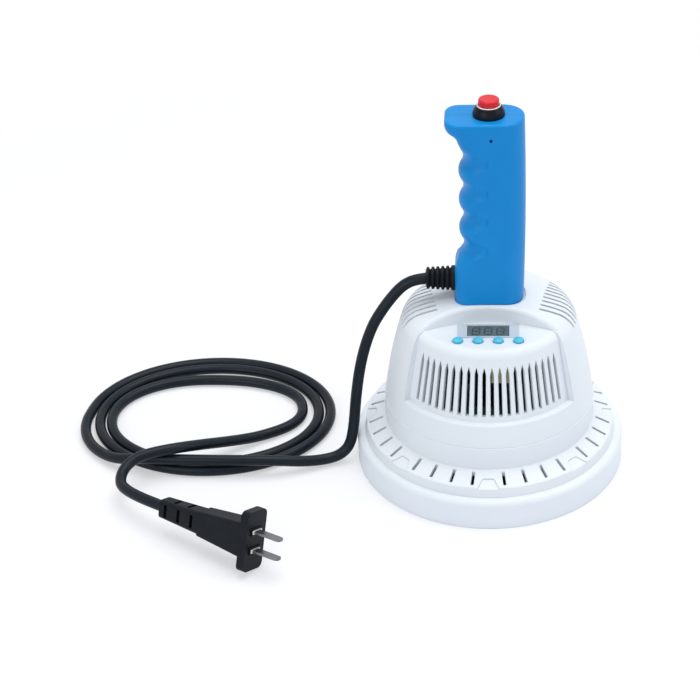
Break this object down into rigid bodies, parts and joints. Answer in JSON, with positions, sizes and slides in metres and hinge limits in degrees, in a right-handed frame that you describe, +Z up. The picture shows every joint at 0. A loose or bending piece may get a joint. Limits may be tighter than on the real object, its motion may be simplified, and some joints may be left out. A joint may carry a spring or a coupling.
{
  "type": "handheld induction sealer",
  "caption": "Handheld induction cap sealer: round vented base and dome with a control panel, upright pistol grip with push button, and a coiled mains lead with plug.",
  "frame": {"origin": "centre of the head's underside, where it rests", "axes": "+Z up along the head's axis and the grip, the control panel faces -Y, the lead leaves the grip towards -X"},
  "size_m": [0.3797, 0.2496, 0.263],
  "materials": {
    "white_shell": "satin",
    "face_plate": "matt",
    "former": "matt",
    "copper_coil": "lacquered winding",
    "ferrite": "matt",
    "screw_steel": "zinc plated",
    "post_brass": "machined",
    "circuit_board": "lacquered",
    "sink_aluminium": "extruded",
    "black_plastic": "matt",
    "capacitor_can": "sleeved",
    "choke_core": "coated",
    "bezel_grey": "satin",
    "display_glass": "gloss",
    "module_grey": "matt",
    "relay_yellow": "satin",
    "key_blue": "satin",
    "handle_blue": "satin",
    "bezel_black": "satin",
    "collar_white": "satin",
    "trigger_red": "satin",
    "cord_rubber": "matt",
    "plug_black": "moulded",
    "blade_steel": "plated"
  },
  "bodies": {
    "sealer": {"base_ring": "white_shell", "dome_housing": "white_shell", "sealing_face": "face_plate", "coil_former": "former", "induction_coil": "copper_coil", "ferrite_bars": "ferrite", "base_screws": "screw_steel", "board_screws": "screw_steel", "fan_screws": "screw_steel", "panel_screws": "screw_steel", "handle_screws": "screw_steel", "handle_foot_screws": "screw_steel", "board_posts": "post_brass", "fan_posts": "post_brass", "panel_posts": "post_brass", "power_board": "circuit_board", "control_board": "circuit_board", "heatsink": "sink_aluminium", "power_transistors": "black_plastic", "bulk_capacitors": "capacitor_can", "filter_choke": "choke_core", "fan_frame": "black_plastic", "display_bezel": "bezel_grey", "display_glass": "display_glass", "display_module": "module_grey", "relay": "relay_yellow", "key_switches": "black_plastic", "handle_front_shell": "handle_blue", "handle_rear_shell": "handle_blue", "switch_body": "black_plastic", "switch_nut": "screw_steel", "switch_bezel": "bezel_black", "switch_collar": "collar_white", "cord_boot": "cord_rubber", "cord_free": "cord_rubber", "cord_coil": "cord_rubber", "cord_tail": "cord_rubber", "plug_body": "plug_black", "plug_blades": "blade_steel"},
    "trigger": {"trigger_cap": "trigger_red"},
    "key_1": {"key_set": "key_blue"},
    "key_2": {"key_down": "key_blue"},
    "key_3": {"key_up": "key_blue"},
    "key_4": {"key_start": "key_blue"},
    "fan": {"fan_rotor": "black_plastic"}
  },
  "joints": [
    {"name": "trigger_press", "type": "slide", "parent": "sealer", "child": "trigger", "axis": [0, 0, -1], "range_m": [0, 0.003], "stiffness_N_per_m": 600},
    {"name": "key_1_press", "type": "slide", "parent": "sealer", "child": "key_1", "axis": [0, 0, -1], "range_m": [0, 0.001], "stiffness_N_per_m": 800},
    {"name": "key_2_press", "type": "slide", "parent": "sealer", "child": "key_2", "axis": [0, 0, -1], "range_m": [0, 0.001], "stiffness_N_per_m": 800},
    {"name": "key_3_press", "type": "slide", "parent": "sealer", "child": "key_3", "axis": [0, 0, -1], "range_m": [0, 0.001], "stiffness_N_per_m": 800},
    {"name": "key_4_press", "type": "slide", "parent": "sealer", "child": "key_4", "axis": [0, 0, -1], "range_m": [0, 0.001], "stiffness_N_per_m": 800},
    {"name": "fan_spin", "type": "hinge", "parent": "sealer", "child": "fan", "pos_m": [0, 0, 0.0828], "axis": [0, 0, 1], "continuous": true}
  ]
}
